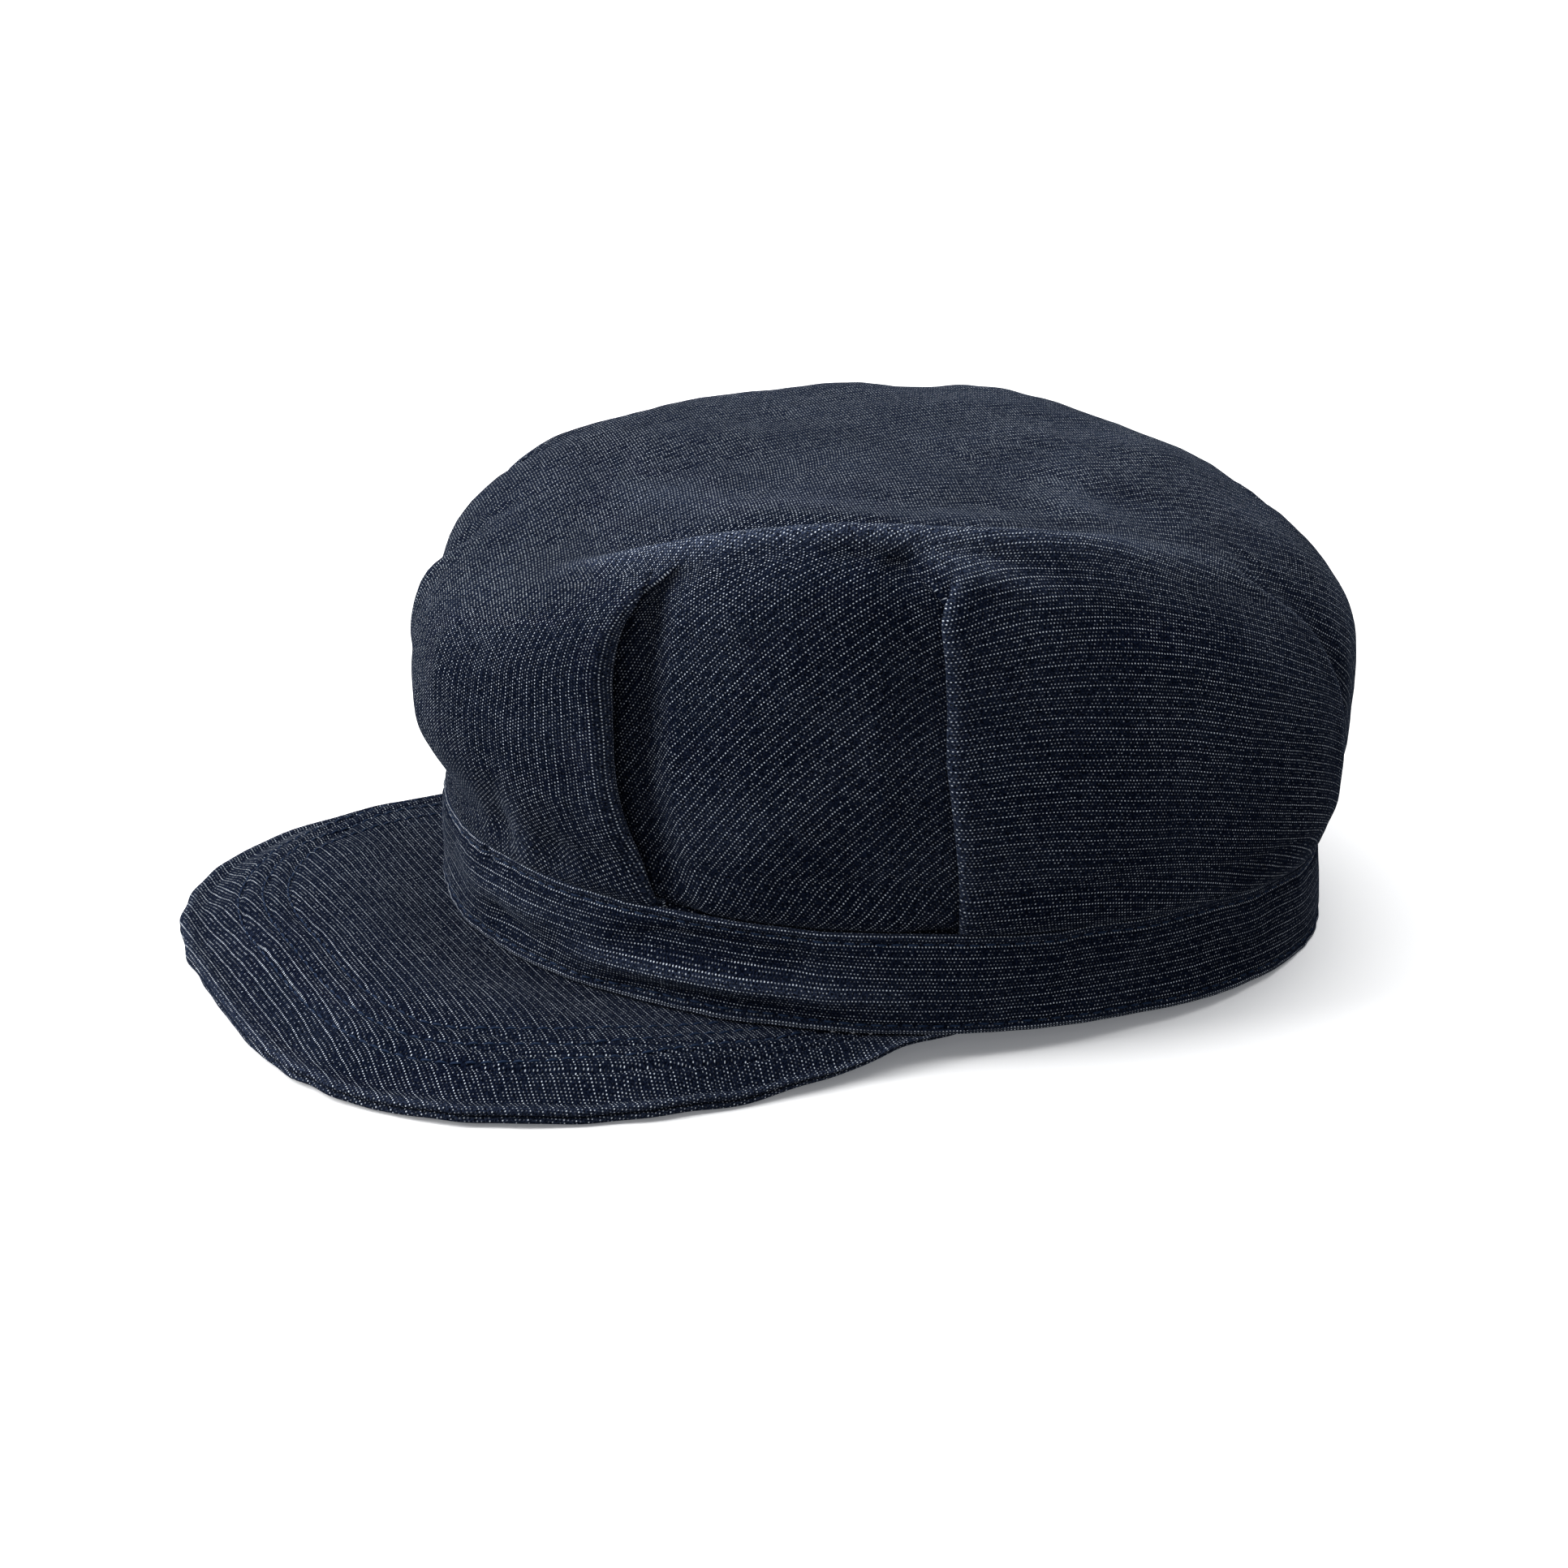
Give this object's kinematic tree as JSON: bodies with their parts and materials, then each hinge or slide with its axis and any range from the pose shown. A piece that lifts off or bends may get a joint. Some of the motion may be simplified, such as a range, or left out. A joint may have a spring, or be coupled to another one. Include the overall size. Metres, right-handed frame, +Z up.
{
  "type": "railroad engineer cap",
  "caption": "Soft work cap with a one-piece pleated crown, a narrow band and a short two-ply curved peak, lying on a surface.",
  "frame": {"origin": "on the surface that the cap lies on, below the middle of the box round the whole cap", "axes": "+Z up, -Y towards the tip of the peak, +X towards the wearer's left"},
  "size_m": [0.2018, 0.257, 0.1092],
  "materials": {
    "crown_cloth": "matte navy work cloth with fine dotted pale stripes that run from front to back",
    "band_cloth": "the same striped cloth with the stripes along the band, topstitched in dark blue thread",
    "peak_cloth": "the same striped cloth with the stripes from side to side, with three rows of dark blue topstitching",
    "peak_lining_cloth": "the same striped cloth under the peak"
  },
  "bodies": {
    "root": {"crown": "crown_cloth", "band": "band_cloth", "peak_top": "peak_cloth", "peak_under": "peak_lining_cloth"}
  },
  "joints": []
}
